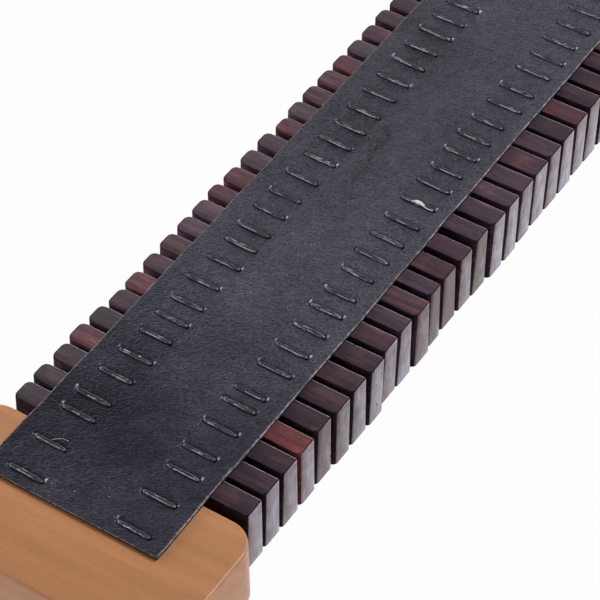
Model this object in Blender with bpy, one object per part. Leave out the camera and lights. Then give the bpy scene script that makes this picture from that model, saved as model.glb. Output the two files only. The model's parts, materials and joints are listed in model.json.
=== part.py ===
"""Wooden slat rattle.

A row of upright hardwood slats hangs side by side from one broad leather strap.
Two rows of doubled waxed thread hold the slats to the strap: in each row one
unbroken thread runs up through a slanted needle hole in a slat, along the top of
the leather for one stitch, down through the slat again and on into the next one.
A wooden handle is sewn to the strap at each end.  The leather bends over every
gap, so the slats knock together in a wave when the handles are moved.

Metres, +Z up, +X along the strap, origin on the floor below the middle slat.
"""

import math

import bmesh
import bpy
from mathutils import Matrix, Vector

# Slats
SLAT_COUNT = 37
SLAT_LENGTH = 0.1008
SLAT_DEPTH = 0.0280
SLAT_THICKNESS = 0.0100
SLAT_TOP_THICKNESS = 0.0088
SLAT_GAP = 0.0010
SLAT_EDGE_RADIUS = 0.0008
SLAT_END_CHAMFER = 0.0006

# Handles
HANDLE_WIDTH = 0.1170
HANDLE_REACH = 0.0600
HANDLE_GAP = 0.0032
HANDLE_CORNER_RADIUS = 0.0115
HANDLE_EDGE_RADIUS = 0.0010

# Leather strap
STRAP_WIDTH = 0.0742
STRAP_THICKNESS = 0.0015
STRAP_SHIFT = 0.0020
STRAP_TAIL = 0.0053

# Waxed thread and its needle holes
THREAD_DIAMETER = 0.0015
STITCH_LENGTH = 0.0142
STITCH_ROW_SPACING = 0.0449
STITCH_SHIFT = 0.0010
STITCH_SETBACK = 0.0050
HANDLE_STITCH_INSET = 0.0072
HANDLE_STITCH_STEP = 0.0154
THREAD_DEPTH = 0.0060

# Clearances
SEAT_CLEARANCE = 0.0003
NEEDLE_CLEARANCE = 0.00035

# Places that follow from the sizes
PITCH = SLAT_THICKNESS + SLAT_GAP
STRAP_UNDERSIDE = SLAT_DEPTH + SEAT_CLEARANCE
STRAP_TOP = STRAP_UNDERSIDE + STRAP_THICKNESS
HINGE_HEIGHT = STRAP_UNDERSIDE + STRAP_THICKNESS / 2
THREAD_RADIUS = THREAD_DIAMETER / 2
NEEDLE_RADIUS = THREAD_RADIUS + NEEDLE_CLEARANCE
THREAD_TOP = STRAP_TOP + SEAT_CLEARANCE + THREAD_RADIUS
MIDDLE = SLAT_COUNT // 2
SLATS_HALF_SPAN = (SLAT_COUNT - 1) / 2 * PITCH + SLAT_THICKNESS / 2
HANDLE_INNER = SLATS_HALF_SPAN + HANDLE_GAP
STRAP_HALF_LENGTH = (
    HANDLE_INNER + HANDLE_STITCH_INSET + HANDLE_STITCH_STEP + STRAP_TAIL
)

# Wood tones seen on the slats: base colour as linear red, green, blue
TONES = {
    "purple": (0.072, 0.034, 0.034),
    "plum": (0.104, 0.046, 0.044),
    "brown": (0.158, 0.078, 0.055),
    "red": (0.215, 0.070, 0.045),
    "scarlet": (0.300, 0.066, 0.040),
}
SLAT_TONES = (
    "purple plum brown scarlet purple purple red plum brown purple red brown "
    "brown red red purple brown plum red purple purple red"
).split()
BEECH = (0.530, 0.270, 0.120)
LEATHER = (0.020, 0.021, 0.026)
THREAD = (0.040, 0.033, 0.022)


def clear_scene():
    for item in list(bpy.data.objects):
        bpy.data.objects.remove(item, do_unlink=True)


def add_collection(name):
    group = bpy.data.collections.new(name)
    bpy.context.scene.collection.children.link(group)
    return group


def add_material(name, colour, roughness):
    material = bpy.data.materials.new(name)
    material.use_nodes = True
    shader = material.node_tree.nodes["Principled BSDF"]
    shader.inputs["Base Color"].default_value = (*colour, 1.0)
    shader.inputs["Roughness"].default_value = roughness
    shader.inputs["Metallic"].default_value = 0.0
    return material


def finish_mesh(bm, name):
    mesh = bpy.data.meshes.new(name)
    bm.to_mesh(mesh)
    bm.free()
    mesh.shade_smooth()
    mesh.set_sharp_from_angle(angle=math.radians(30))
    return mesh


def add_object(name, data, group, material, location, parent=None):
    item = bpy.data.objects.new(name, data)
    group.objects.link(item)
    item.location = location
    item.parent = parent
    if not data.materials:
        data.materials.append(None)
    item.material_slots[0].link = "OBJECT"
    item.material_slots[0].material = material
    return item


def box(size):
    bm = bmesh.new()
    bmesh.ops.create_cube(bm, size=1.0)
    bmesh.ops.scale(bm, vec=size, verts=bm.verts)
    return bm


def bevel(bm, edges, radius, segments):
    bmesh.ops.bevel(
        bm, geom=edges, offset=radius, segments=segments, profile=0.5,
        affect="EDGES", clamp_overlap=True,
    )


def runs_along(edge, axis):
    start, end = (vert.co for vert in edge.verts)
    return abs((end - start).normalized()[axis]) > 0.999


def slat_mesh():
    """One slat, thinner under the strap, with rounded edges and chamfered ends."""
    bm = box((SLAT_THICKNESS, SLAT_LENGTH, SLAT_DEPTH))
    top = [vert for vert in bm.verts if vert.co.z > 0]
    narrow = (SLAT_TOP_THICKNESS / SLAT_THICKNESS, 1, 1)
    bmesh.ops.scale(bm, vec=narrow, verts=top)
    long_edges = [edge for edge in bm.edges if runs_along(edge, 1)]
    upper = [edge for edge in long_edges if edge.verts[0].co.z > 0]
    lower = [edge for edge in long_edges if edge.verts[0].co.z < 0]
    bevel(bm, upper, SLAT_EDGE_RADIUS, 2)
    bevel(bm, lower, SLAT_EDGE_RADIUS, 1)
    bm.faces.ensure_lookup_table()
    ends = [face for face in bm.faces if abs(face.normal.y) > 0.999]
    rims = {edge for face in ends for edge in face.edges}
    bevel(bm, list(rims), SLAT_END_CHAMFER, 1)
    return finish_mesh(bm, "slat")


def handle_mesh():
    """A flat grip block with rounded plan corners and eased edges all round."""
    bm = box((HANDLE_REACH, HANDLE_WIDTH, SLAT_DEPTH))
    upright = [edge for edge in bm.edges if runs_along(edge, 2)]
    bevel(bm, upright, HANDLE_CORNER_RADIUS, 5)
    bm.faces.ensure_lookup_table()
    flats = [face for face in bm.faces if abs(face.normal.z) > 0.999]
    rims = {edge for face in flats for edge in face.edges}
    bevel(bm, list(rims), HANDLE_EDGE_RADIUS, 1)
    return finish_mesh(bm, "handle")


def slat_centre(index):
    return (index - (SLAT_COUNT - 1) / 2) * PITCH


def stitch_places():
    """X of every stitch of a row, from the -X handle to the +X handle."""
    inner = HANDLE_INNER + HANDLE_STITCH_INSET
    outer = inner + HANDLE_STITCH_STEP
    over_slat = SLAT_TOP_THICKNESS / 2 - STITCH_SETBACK
    slats = [slat_centre(index) + over_slat for index in range(SLAT_COUNT)]
    return [-outer, -inner] + slats + [inner, outer]


def crossing_places():
    """X of every low point of the thread: blind ends, gaps and handle holes."""
    inner = HANDLE_INNER + HANDLE_STITCH_INSET
    outer = inner + HANDLE_STITCH_STEP
    in_handle = (inner + outer) / 2
    blind = outer + HANDLE_STITCH_STEP / 4
    handle_gap = SLATS_HALF_SPAN + HANDLE_GAP / 2
    gaps = [slat_centre(index) + PITCH / 2 for index in range(SLAT_COUNT - 1)]
    low = [-blind, -in_handle, -handle_gap]
    return low + gaps + [handle_gap, in_handle, blind]


def stitches(row_y):
    """Each stitch as its low point, first end, second end and next low point."""
    tops = stitch_places()
    lows = crossing_places()
    height = SLAT_DEPTH - THREAD_DEPTH
    for number, x in enumerate(tops):
        side = 1 if number % 2 == 0 else -1
        first_y = row_y + side * STITCH_LENGTH / 2
        second_y = row_y - side * STITCH_LENGTH / 2
        enter = Vector((lows[number], first_y, height))
        first = Vector((x, first_y, STRAP_TOP))
        second = Vector((x, second_y, STRAP_TOP))
        leave = Vector((lows[number + 1], second_y, height))
        yield enter, first, second, leave


def thread_curve(name, row_y):
    """One unbroken thread: a low crossing, then up, along the leather and down."""
    lift = Vector((0, 0, NEEDLE_CLEARANCE))
    rise = Vector((0, 0, THREAD_TOP - STRAP_TOP))
    route = []
    for enter, first, second, leave in stitches(row_y):
        along = (second - first).normalized() * NEEDLE_RADIUS
        route.append(enter)
        route.append(first + lift)
        route.append(first + rise + along)
        route.append(second + rise - along)
        route.append(second + lift)
    route.append(leave)
    curve = bpy.data.curves.new(name, "CURVE")
    curve.dimensions = "3D"
    curve.bevel_depth = THREAD_RADIUS
    curve.bevel_resolution = 1
    curve.use_fill_caps = True
    spline = curve.splines.new("POLY")
    spline.points.add(len(route) - 1)
    for point, place in zip(spline.points, route):
        point.co = (*place, 1.0)
    return curve


def add_needle_holes(name, rows, rising, group):
    """Square needle holes along every rising, or every falling, run of thread."""
    width = 2 * NEEDLE_RADIUS
    past_low = NEEDLE_CLEARANCE + SEAT_CLEARANCE / 2
    past_top = 2 * width
    bm = bmesh.new()
    for row_y in rows:
        for enter, first, second, leave in stitches(row_y):
            low = enter if rising else leave
            top = first if rising else second
            run = top - low
            length = run.length + past_low + past_top
            middle = low + run.normalized() * (length / 2 - past_low)
            tilt = math.atan2(run.x, run.z)
            place = Matrix.Translation(middle) @ Matrix.Rotation(tilt, 4, "Y")
            stretch = Matrix.Diagonal((width, width, length, 1.0))
            bmesh.ops.create_cube(bm, size=1.0, matrix=place @ stretch)
    mesh = bpy.data.meshes.new(name)
    bm.to_mesh(mesh)
    bm.free()
    cutter = bpy.data.objects.new(name, mesh)
    group.objects.link(cutter)
    cutter.display_type = "WIRE"
    cutter.hide_render = True
    return cutter


def cut(item, cutters):
    for cutter in cutters:
        step = item.modifiers.new(cutter.name, "BOOLEAN")
        step.operation = "DIFFERENCE"
        step.solver = "EXACT"
        step.object = cutter


def add_hinge(name, x, group, parent):
    """An empty on the bending line of the leather, over the middle of a gap."""
    empty = bpy.data.objects.new(name, None)
    group.objects.link(empty)
    empty.empty_display_size = SLAT_DEPTH / 2
    place = Vector((x, 0, HINGE_HEIGHT))
    empty.location = place
    if parent:
        empty.parent = parent
        empty.location = place - world_place(parent)
    return empty


def world_place(item):
    place = Vector(item.location)
    while item.parent:
        item = item.parent
        place += item.location
    return place


def add_on_hinge(name, mesh, group, material, centre, hinge):
    offset = Vector(centre)
    if hinge:
        offset -= world_place(hinge)
    return add_object(name, mesh, group, material, offset, hinge)


def main():
    clear_scene()
    group = add_collection("slat_rattle")
    cutter_group = add_collection("cutters")
    rows = {
        "thread_left": STITCH_SHIFT + STITCH_ROW_SPACING / 2,
        "thread_right": STITCH_SHIFT - STITCH_ROW_SPACING / 2,
    }

    strap_bm = box((2 * STRAP_HALF_LENGTH, STRAP_WIDTH, STRAP_THICKNESS))
    strap = add_object(
        "strap", finish_mesh(strap_bm, "strap"), group,
        add_material("black_leather", LEATHER, 0.55),
        (0, STRAP_SHIFT, HINGE_HEIGHT),
    )
    for name, row_y in rows.items():
        add_object(
            name, thread_curve(name, row_y), group,
            add_material(name + "_waxed", THREAD, 0.45), (0, 0, 0),
        )

    slat = slat_mesh()
    wooden = {}
    for side in (-1, 1):
        hinge = None
        for step in range(0 if side == 1 else 1, MIDDLE + 1):
            index = MIDDLE + side * step
            if step:
                line = slat_centre(index) - side * PITCH / 2
                hinge = add_hinge(f"hinge_{index + 1:02d}", line, group, hinge)
            name = f"slat_{index + 1:02d}"
            tone = TONES[SLAT_TONES[index % len(SLAT_TONES)]]
            wooden[name] = add_on_hinge(
                name, slat, group, add_material(name + "_rosewood", tone, 0.4),
                (slat_centre(index), 0, SLAT_DEPTH / 2), hinge,
            )
        name = "handle_left" if side == -1 else "handle_right"
        line = side * (SLATS_HALF_SPAN + HANDLE_GAP / 2)
        hinge = add_hinge("hinge_" + name, line, group, hinge)
        wooden[name] = add_on_hinge(
            name, handle_mesh(), group, add_material(name + "_beech", BEECH, 0.45),
            (side * (HANDLE_INNER + HANDLE_REACH / 2), 0, SLAT_DEPTH / 2), hinge,
        )

    holes = [
        add_needle_holes("rising_holes", rows.values(), True, cutter_group),
        add_needle_holes("falling_holes", rows.values(), False, cutter_group),
    ]
    for item in [strap, *wooden.values()]:
        cut(item, holes)
    bpy.context.view_layer.update()


main()
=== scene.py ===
"""Finish of a wooden slat rattle: rosewood slats, black leather, waxed thread, beech.

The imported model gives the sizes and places. Each operator makes one group of pieces
over it, the stage operator makes the floor, lamps and camera, and the panel in the
3D view's sidebar lists them all.
"""

import json
import math
import random

import bmesh
import bpy
from mathutils import Matrix, Vector, noise
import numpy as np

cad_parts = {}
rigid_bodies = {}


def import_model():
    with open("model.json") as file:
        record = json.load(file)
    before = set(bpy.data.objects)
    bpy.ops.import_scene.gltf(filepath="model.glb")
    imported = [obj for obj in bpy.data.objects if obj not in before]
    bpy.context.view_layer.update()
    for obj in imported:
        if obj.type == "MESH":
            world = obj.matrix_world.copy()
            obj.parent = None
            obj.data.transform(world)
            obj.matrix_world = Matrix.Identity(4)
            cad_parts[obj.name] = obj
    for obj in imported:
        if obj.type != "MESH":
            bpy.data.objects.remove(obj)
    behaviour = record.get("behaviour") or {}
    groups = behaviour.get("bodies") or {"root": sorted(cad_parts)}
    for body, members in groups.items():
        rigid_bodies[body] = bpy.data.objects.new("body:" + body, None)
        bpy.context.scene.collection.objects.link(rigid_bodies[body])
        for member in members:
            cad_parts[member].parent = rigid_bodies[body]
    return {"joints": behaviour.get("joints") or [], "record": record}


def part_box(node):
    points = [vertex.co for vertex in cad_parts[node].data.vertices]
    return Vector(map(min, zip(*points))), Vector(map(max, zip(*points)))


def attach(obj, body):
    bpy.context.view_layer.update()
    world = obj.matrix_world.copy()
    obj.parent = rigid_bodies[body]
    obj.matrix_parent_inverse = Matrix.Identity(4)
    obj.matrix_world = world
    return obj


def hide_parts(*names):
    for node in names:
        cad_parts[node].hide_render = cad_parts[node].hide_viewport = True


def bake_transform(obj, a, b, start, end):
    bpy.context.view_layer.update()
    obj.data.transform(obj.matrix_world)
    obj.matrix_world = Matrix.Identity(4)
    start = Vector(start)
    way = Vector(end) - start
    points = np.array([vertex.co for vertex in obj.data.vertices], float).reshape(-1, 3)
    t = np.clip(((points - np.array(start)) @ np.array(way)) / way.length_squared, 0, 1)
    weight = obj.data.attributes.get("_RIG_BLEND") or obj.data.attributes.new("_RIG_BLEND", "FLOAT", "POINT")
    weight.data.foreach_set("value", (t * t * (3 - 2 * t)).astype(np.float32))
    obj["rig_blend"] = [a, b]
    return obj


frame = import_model()

bl_info = {
    "name": "Slat Rattle Finish",
    "version": (1, 0, 0),
    "blender": (4, 5, 0),
    "location": "View3D > Sidebar > Rattle",
    "description": "Dresses a slat rattle in rosewood, leather, waxed thread and beech",
    "category": "Object",
}

MM = 0.001
THREAD_RADIUS = 0.75 * MM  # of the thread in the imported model
HANDLE_STITCHES = (7.2 * MM, 22.6 * MM)  # in from a handle's inner face
HANDLE_FOOT_GAP = 2.0 * MM  # from the left handle to the foot of the first slat
SHARP_ANGLE = math.radians(40)
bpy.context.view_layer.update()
BODY_OF = {
    node: body
    for body, nodes in frame["record"]["behaviour"]["bodies"].items()
    for node in nodes
}
SLATS = sorted(name for name in BODY_OF if name.startswith("slat_"))
CHAIN = ["handle_left", *SLATS, "handle_right"]
JOINT_X = {
    frozenset((joint["parent"], joint["child"])): joint["pos_m"][0]
    for joint in frame["joints"]
}

# Wood tones by name: the ground colour of a slat and the glow of its paler bands
TONES = {
    "purple": ("#2e202b", "#452f37"),
    "mauve": ("#483744", "#5d4450"),
    "plum": ("#412a36", "#583a3e"),
    "brown": ("#462d35", "#643d38"),
    "red": ("#4f2d37", "#6a3b3e"),
    "scarlet": ("#6f3939", "#8a4745"),
}
SLAT_TONES = (
    "purple purple purple scarlet purple purple purple purple plum mauve plum mauve "
    "plum plum mauve mauve mauve mauve plum mauve purple red"
).split()
FAR_TONES = (
    "purple purple purple red purple purple red plum plum mauve mauve red "
    "red mauve mauve red mauve brown plum red mauve plum"
).split()
# How grey the end grain is, partly bloom and partly painted reflection, from 0 (brown wood) to 1 or more
# (fully grey)
END_BLOOM_AND_REFLECTION = {
    "slat_05": 0.55, "slat_06": 0.7, "slat_07": 1.0, "slat_08": 1.1, "slat_09": 0.9,
    "slat_10": 1.1, "slat_11": 0.65, "slat_12": 0.35, "slat_13": 0.0, "slat_14": 0.9,
    "slat_15": 0.55, "slat_16": 1.25, "slat_17": 1.2, "slat_19": 1.15, "slat_20": 0.95,
    "slat_21": 1.25,
}
# How wide the open pores in a slat's end are, where they show
END_PORES = {"slat_05": 1.3, "slat_08": 1.2, "slat_14": 0.9}

# How the hand-cut slats in view lie, in mm from each one's own middle: the left and
# right edge of its top at the near end, the same at the far end, how much longer
# than nominal it is at the near and the far end, the right edge and lift of its foot
SLAT_FITS = (
    (-4.4, 4.4, -4.2, 5.1, 0.0, 0.0, 4.0, 0.0),
    (-4.5, 4.3, -4.4, 4.2, -0.1, 0.2, 3.6, 0.0),
    (-4.6, 4.2, -3.9, 5.0, 0.1, 0.0, 4.1, 0.0),
    (-5.2, 3.9, -4.3, 5.2, 0.2, 0.7, 3.9, 0.0),
    (-4.5, 4.4, -4.2, 4.9, -0.2, 0.0, 4.3, 0.0),
    (-4.8, 4.7, -4.8, 4.7, 0.6, -1.2, 4.1, 0.0),
    (-4.1, 4.6, -5.2, 4.2, 0.5, -0.9, 4.6, 0.0),
    (-3.7, 5.2, -4.1, 4.3, 0.9, -0.4, 4.0, 0.0),
    (-3.6, 5.2, -3.8, 5.1, -0.3, -0.1, 4.0, 1.0),
    (-3.5, 4.4, -3.5, 5.0, -0.5, -0.1, 4.1, 0.0),
    (-4.5, 4.5, -4.5, 4.7, 0.3, 0.0, 4.8, 0.7),
    (-3.9, 3.4, -4.2, 3.4, -0.9, 0.6, 3.7, 0.0),
    (-5.6, 3.3, -5.4, 4.1, -0.9, 0.0, 4.1, 0.8),
    (-4.9, 3.5, -4.5, 4.4, -0.4, 0.1, 3.6, 1.3),
    (-3.7, 4.5, -3.7, 4.6, -0.6, 0.1, 4.0, 0.0),
    (-3.8, 5.0, -3.8, 4.8, 0.5, -1.2, 4.1, 0.3),
    (-3.6, 4.4, -4.2, 4.4, 0.5, 0.0, 3.9, 0.0),
    (-4.6, 4.3, -4.5, 4.4, 0.5, 0.1, 3.2, 1.1),
    (-5.2, 5.0, -4.8, 4.7, 0.4, 0.0, 3.5, 1.4),
    (-4.2, 4.6, -4.4, 4.5, 0.3, 0.0, 3.7, 0.8),
    (-4.6, 4.4, -4.5, 4.6, 0.2, 0.0, 4.2, 0.4),
    (-4.5, 4.4, -4.4, 4.5, 0.1, 0.0, 3.6, 1.2),
)

# The hand-sewn stitches in view, in mm: X from the slat's middle, slant to the right
# at the first end, and Y of the two ends; the handle's two come first, from its face
LEFT_ROW = (
    (-22.6, 0.3, 31.0, 16.7), (-7.2, 0.2, 31.7, 18.5),
    (0.6, 0.3, 31.7, 17.7), (-1.5, 0.1, 32.2, 17.5), (0.0, 0.1, 31.2, 17.3),
    (0.2, 0.1, 30.7, 16.7), (1.1, 0.0, 29.9, 16.6), (0.2, 0.4, 30.0, 16.3),
    (-1.4, 0.0, 29.7, 16.3), (-0.7, 0.2, 31.2, 17.3), (0.8, 0.1, 30.0, 16.3),
    (0.8, 0.5, 30.0, 16.4), (-1.1, 0.1, 30.1, 16.6), (-0.7, 0.6, 30.6, 17.2),
    (-1.5, 0.0, 30.1, 16.9), (-0.8, 0.4, 30.3, 16.7), (0.3, 0.1, 29.9, 16.4),
    (0.6, 0.5, 30.7, 16.4), (-0.1, 0.1, 29.5, 16.3), (-0.5, 0.2, 30.2, 16.3),
)
RIGHT_ROW = (
    (-22.6, 0.2, -15.0, -28.4), (-7.2, 0.1, -14.6, -28.0),
    (-1.6, 0.1, -15.0, -28.2), (-2.2, 0.0, -14.5, -27.7), (-0.1, 0.2, -14.1, -27.8),
    (0.9, 0.1, -14.3, -27.5), (-3.2, 0.2, -14.3, -27.0), (-0.4, 0.1, -15.3, -28.7),
    (-0.3, 0.2, -15.3, -28.8), (0.3, 0.1, -15.6, -28.7), (0.6, 0.1, -15.4, -28.5),
    (-0.9, 0.1, -15.8, -28.3), (0.2, 0.6, -15.3, -28.4), (0.0, 0.2, -14.3, -28.3),
    (-0.5, 0.4, -14.6, -28.3), (-0.6, 0.2, -14.6, -28.3), (0.1, 0.1, -14.3, -28.3),
    (0.5, 0.7, -14.3, -28.1), (-0.9, 0.1, -15.1, -28.0), (-0.9, 0.2, -14.3, -27.9),
    (-1.3, 0.5, -14.1, -27.8), (-1.7, 0.2, -14.3, -27.6),
)

# Worn fibres that stand up from the thread or lie on the leather, in mm: the node
# below each one, its radius and its points
FIBRES = (
    ("slat_15", 0.36, ((-0.4, -19.0), (0.3, -20.3), (0.1, -22.3), (-0.4, -24.6))),
    ("slat_15", 0.38, ((0.3, -19.9), (1.0, -21.0), (0.8, -22.6), (0.2, -24.0))),
    ("slat_15", 0.40, ((-0.2, -20.6), (0.5, -22.2), (0.4, -23.6))),
    ("slat_15", 0.16, ((-0.4, -24.4), (-0.8, -26.2), (-0.7, -28.4))),
    ("slat_04", 0.16, ((0.4, 28.4), (0.5, 27.2), (0.4, 25.8))),
    ("slat_04", 0.18, ((0.7, 22.4), (0.8, 21.8), (0.7, 21.3))),
    ("handle_left", 0.07, ((-6.2, 25.0), (-5.0, 23.9), (-3.9, 22.3), (-3.5, 19.6))),
)

# Soft wrinkles in the hide, in mm: start, end, height (below zero for a fold) and
# half width
WRINKLES = (
    ((-50, 4), (-31, 8), -0.30, 1.1),
    ((-33, 7), (-15, 9), -0.50, 1.1),
    ((-46, 11), (-22, 13), 0.26, 2.8),
    ((-20, 12), (2, 6), 0.24, 2.6),
    ((-30, -1), (4, 1), 0.16, 2.6),
    ((-78, 4), (-52, 10), 0.12, 2.4),
    ((-62, -4), (-40, -8), -0.12, 1.3),
    ((-125, 8), (-100, 1), 0.10, 2.4),
    ((-165, 6), (-140, -2), 0.08, 2.4),
)


def linear(text):
    """Turns an sRGB hex colour into linear red, green, blue and alpha."""
    channels = [int(text[i:i + 2], 16) / 255 for i in (1, 3, 5)]
    return (*[
        c / 12.92 if c <= 0.04045 else ((c + 0.055) / 1.055) ** 2.4
        for c in channels
    ], 1.0)


class RattleSizes(bpy.types.PropertyGroup):
    """Sizes of the finish that a maker would choose."""

    edge_radius: bpy.props.FloatProperty(
        name="Slat Edge Radius", description="Rounding of a slat's upper and lower edges",
        default=0.45 * MM, unit="LENGTH")
    end_radius: bpy.props.FloatProperty(
        name="Slat End Radius", description="Rounding down the left of a slat's near end",
        default=2.0 * MM, unit="LENGTH")
    worn_radius: bpy.props.FloatProperty(
        name="Slat Worn Edge Radius", description="Rounding down the right of that end",
        default=0.6 * MM, unit="LENGTH")
    far_radius: bpy.props.FloatProperty(
        name="Slat Far End Radius", description="Rounding down both sides of its far end",
        default=2.6 * MM, unit="LENGTH")
    foot_gap: bpy.props.FloatProperty(
        name="Foot Gap", description="Gap between two slats where they stand",
        default=1.0 * MM, unit="LENGTH")
    handle_corner: bpy.props.FloatProperty(
        name="Handle Corner Radius", description="Rounding of a handle's corners",
        default=11.5 * MM, unit="LENGTH")
    handle_edge: bpy.props.FloatProperty(
        name="Handle Edge Radius", description="Easing of a handle's edges",
        default=1.0 * MM, unit="LENGTH")
    strand: bpy.props.FloatProperty(
        name="Strand Diameter", description="Diameter of one of the thread's two strands",
        default=0.98 * MM, unit="LENGTH")
    lay: bpy.props.FloatProperty(
        name="Strand Lay", description="Length in which a strand's plies turn once",
        default=6.0 * MM, unit="LENGTH")
    pucker: bpy.props.FloatProperty(
        name="Pucker Height", description="How far the leather lifts beside a needle hole",
        default=0.38 * MM, unit="LENGTH")
    groove: bpy.props.FloatProperty(
        name="Stitch Groove", description="How deep a stitch presses into the leather",
        default=0.05 * MM, unit="LENGTH")
    edge_wander: bpy.props.FloatProperty(
        name="Cut Edge Wander", description="How far the strap's cut edges stray sideways",
        default=0.30 * MM, unit="LENGTH")
    rim: bpy.props.FloatProperty(
        name="Strap Rim", description="Width of the worn bevel along the strap's edges",
        default=0.24 * MM, unit="LENGTH")


class RattleColours(bpy.types.PropertyGroup):
    """Colours of the leather, the thread and the handles."""

    leather: bpy.props.FloatVectorProperty(
        name="Leather", description="Dyed grain side of the strap",
        subtype="COLOR", size=4, default=linear("#181722"))
    # the bloom's paler colour, also used as painted sheen that grows away from the handles
    leather_bloom_and_sheen: bpy.props.FloatVectorProperty(
        name="Leather Bloom", description="Paler bloom on the strap's grain side",
        subtype="COLOR", size=4, default=linear("#4b4955"))
    # the colour of the painted highlights on the puckers, on the wrinkle tops and in the specks
    leather_painted_glint: bpy.props.FloatVectorProperty(
        name="Scuffed Leather", description="Where needle and wear have rubbed the dye",
        subtype="COLOR", size=4, default=linear("#c6c5ce"))
    raw_edge: bpy.props.FloatVectorProperty(
        name="Raw Edge", description="Undyed middle of the strap's cut edges",
        subtype="COLOR", size=4, default=linear("#bdb0ae"))
    thread: bpy.props.FloatVectorProperty(
        name="Thread", description="Waxed thread",
        subtype="COLOR", size=4, default=linear("#403e48"))
    # also the colour of the painted highlights along the strands' tops
    wax: bpy.props.FloatVectorProperty(
        name="Wax", description="Pale wax and worn fibres on the thread",
        subtype="COLOR", size=4, default=linear("#d6d4de"))
    fibre: bpy.props.FloatVectorProperty(
        name="Worn Fibre", description="Undyed linen where the thread has frayed",
        subtype="COLOR", size=4, default=linear("#f4f2f0"))
    beech: bpy.props.FloatVectorProperty(
        name="Beech", description="Lacquered handle wood",
        subtype="COLOR", size=4, default=linear("#c1865b"))


def set_inputs(node, inputs):
    """Sets a node's inputs, or links them: a node stands for its first output."""
    for key, value in inputs.items():
        if isinstance(value, bpy.types.Node):
            value = value.outputs[0]
        if isinstance(value, bpy.types.NodeSocket):
            node.id_data.links.new(value, node.inputs[key])
        else:
            node.inputs[key].default_value = value


def add_node(tree, kind, inputs=None, **settings):
    """Adds one node, sets its properties, and sets or links its inputs.

    Where names repeat, inputs go by place. In Map Range, 1 to 4 are From Min, From
    Max, To Min and To Max. In Mapping, 2 and 3 are Rotation and Scale. In Mix, 0 is
    the factor, and 6 and 7 are the two colours. In Vector Math, 3 is the scale.
    """
    node = tree.nodes.new(kind)
    for name, value in settings.items():
        setattr(node, name, value)
    set_inputs(node, inputs or {})
    return node


def start_material(name, roughness, ior=1.5):
    """A material with a Principled shader, ready for its pattern."""
    material = bpy.data.materials.new(name)
    material.use_nodes = True
    tree = material.node_tree
    shader = tree.nodes["Principled BSDF"]
    set_inputs(shader, {"Roughness": roughness, "IOR": ior})
    return material, tree, shader


def rosewood_material(name, level, smoothest, ior):
    """Oiled rosewood: dark streaks and short open pores along the slat.

    Level darkens or lightens the wood, and a low level paints shade on the sawn sides;
    smoothest is the roughness of its densest fibres: planed tops shine more than sawn sides.
    """
    material, tree, shader = start_material(name, smoothest, ior)
    place = add_node(tree, "ShaderNodeTexCoord").outputs["Object"]
    block = add_node(tree, "ShaderNodeAttribute", attribute_name="block")
    tone = add_node(tree, "ShaderNodeAttribute", attribute_name="tone")
    glow = add_node(tree, "ShaderNodeAttribute", attribute_name="glow")
    moved = add_node(
        tree, "ShaderNodeVectorMath", {0: place, 1: block.outputs["Vector"]},
        operation="ADD")
    # growth bands about 3 mm wide that run some 50 mm along the slat
    bands_at = add_node(
        tree, "ShaderNodeMapping", {0: moved, 2: (0.0, 0.0, 0.06), 3: (1.0, 0.06, 1.0)})
    bands = add_node(
        tree, "ShaderNodeTexNoise",
        {"Vector": bands_at, "Scale": 330.0, "Detail": 3.0, "Distortion": 0.6})
    # fibres about 0.4 mm wide, drawn a little coarser than real ones so they show
    fibres_at = add_node(tree, "ShaderNodeMapping", {0: moved, 3: (1.0, 0.035, 1.0)})
    fibres = add_node(
        tree, "ShaderNodeTexNoise",
        {"Vector": fibres_at, "Scale": 2400.0, "Detail": 2.0})
    # open pores about 0.25 mm wide and 3 mm long
    pores_at = add_node(tree, "ShaderNodeMapping", {0: moved, 3: (1.0, 0.09, 1.0)})
    pores = add_node(
        tree, "ShaderNodeTexNoise",
        {"Vector": pores_at, "Scale": 3600.0, "Detail": 0.0})
    cloud = add_node(
        tree, "ShaderNodeTexNoise", {"Vector": moved, "Scale": 60.0, "Detail": 1.0})
    band_share = add_node(
        tree, "ShaderNodeMapRange", {0: bands, 1: 0.38, 2: 0.62},
        interpolation_type="SMOOTHSTEP")
    cloud_share = add_node(
        tree, "ShaderNodeMapRange", {0: cloud, 1: 0.42, 2: 0.60},
        interpolation_type="SMOOTHSTEP")
    share = add_node(
        tree, "ShaderNodeMath", {0: band_share, 1: cloud_share}, operation="MULTIPLY")
    wood = add_node(
        tree, "ShaderNodeMix", {0: share, 6: tone, 7: glow},
        data_type="RGBA").outputs[2]
    depth = add_node(
        tree, "ShaderNodeMapRange",
        {0: bands, 1: 0.30, 2: 0.70, 3: 0.70 * level, 4: 1.28 * level})
    fibre_depth = add_node(
        tree, "ShaderNodeMapRange", {0: fibres, 1: 0.32, 2: 0.68, 3: 0.60, 4: 1.36})
    pore_depth = add_node(
        tree, "ShaderNodeMapRange", {0: pores, 1: 0.30, 2: 0.39, 3: 0.40, 4: 1.0})
    shade = add_node(
        tree, "ShaderNodeMath", {0: depth, 1: fibre_depth}, operation="MULTIPLY")
    shade = add_node(
        tree, "ShaderNodeMath", {0: shade, 1: pore_depth}, operation="MULTIPLY")
    colour = add_node(
        tree, "ShaderNodeVectorMath", {0: wood, 3: shade}, operation="SCALE")
    height = add_node(
        tree, "ShaderNodeMath", {0: fibre_depth, 1: pore_depth}, operation="ADD")
    bump = add_node(
        tree, "ShaderNodeBump",
        {"Strength": 0.35, "Distance": 0.06 * MM, "Height": height})
    gloss = add_node(
        tree, "ShaderNodeMapRange",
        {0: fibres, 1: 0.3, 2: 0.7, 3: smoothest + 0.12, 4: smoothest})
    set_inputs(shader, {
        "Specular Tint": linear("#fff0f8"), "Base Color": colour, "Normal": bump,
        "Roughness": gloss})
    return material


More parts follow.
